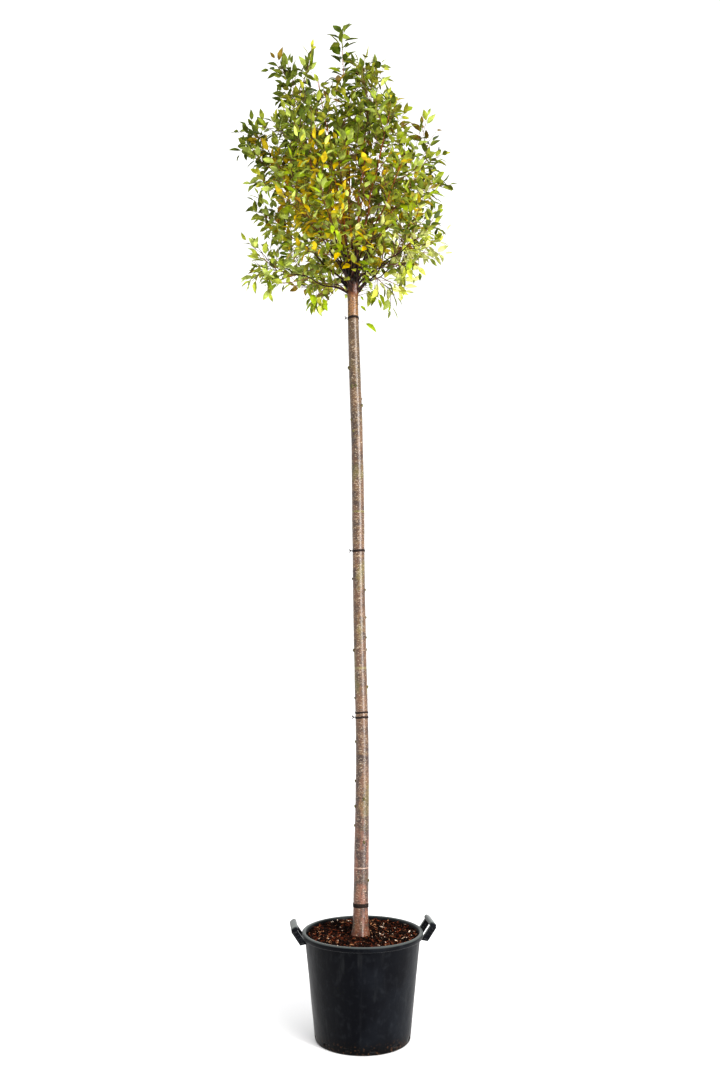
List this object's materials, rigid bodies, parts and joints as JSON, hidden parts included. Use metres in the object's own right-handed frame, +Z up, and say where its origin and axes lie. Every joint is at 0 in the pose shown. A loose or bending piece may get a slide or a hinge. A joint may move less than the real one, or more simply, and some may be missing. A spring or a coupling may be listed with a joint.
{
  "type": "potted globe cherry tree",
  "caption": "Standard tree in a round container with handles: one straight bare stem carries a dense round crown of small pointed leaves.",
  "frame": {"origin": "centre of the container's flat underside, on the ground", "axes": "+Z up along the stem, the pictured front faces -Y, +X to the right seen from the front"},
  "size_m": [0.8499, 0.8224, 3.7166],
  "materials": {
    "container": "satin black with dust",
    "growing_medium": "loose bark chips",
    "bark": "smooth with pale bands",
    "young_bark": "satin",
    "tie": "matte",
    "foliage": "satin leaves"
  },
  "bodies": {
    "root": {"pot": "container", "pot_handle_right": "container", "pot_handle_left": "container", "soil": "growing_medium", "trunk": "bark", "tie_foot": "tie", "tie_low_under": "tie", "tie_low_over": "tie", "tie_middle": "tie", "tie_top": "tie", "bough_top": "young_bark", "bough_upper_1": "young_bark", "bough_upper_2": "young_bark", "bough_upper_3": "young_bark", "bough_upper_4": "young_bark", "bough_upper_5": "young_bark", "bough_middle_1": "young_bark", "bough_middle_2": "young_bark", "bough_middle_3": "young_bark", "bough_middle_4": "young_bark", "bough_middle_5": "young_bark", "bough_middle_6": "young_bark", "bough_side_1": "young_bark", "bough_side_2": "young_bark", "bough_side_3": "young_bark", "bough_side_4": "young_bark", "bough_side_5": "young_bark", "bough_lower_1": "young_bark", "bough_lower_2": "young_bark", "bough_lower_3": "young_bark", "bough_lower_4": "young_bark", "bough_lower_5": "young_bark", "foliage_top": "foliage", "foliage_upper_1": "foliage", "foliage_upper_2": "foliage", "foliage_upper_3": "foliage", "foliage_upper_4": "foliage", "foliage_upper_5": "foliage", "foliage_middle_1": "foliage", "foliage_middle_2": "foliage", "foliage_middle_3": "foliage", "foliage_middle_4": "foliage", "foliage_middle_5": "foliage", "foliage_middle_6": "foliage", "foliage_side_1": "foliage", "foliage_side_2": "foliage", "foliage_side_3": "foliage", "foliage_side_4": "foliage", "foliage_side_5": "foliage", "foliage_lower_1": "foliage", "foliage_lower_2": "foliage", "foliage_lower_3": "foliage", "foliage_lower_4": "foliage", "foliage_lower_5": "foliage"}
  },
  "joints": []
}
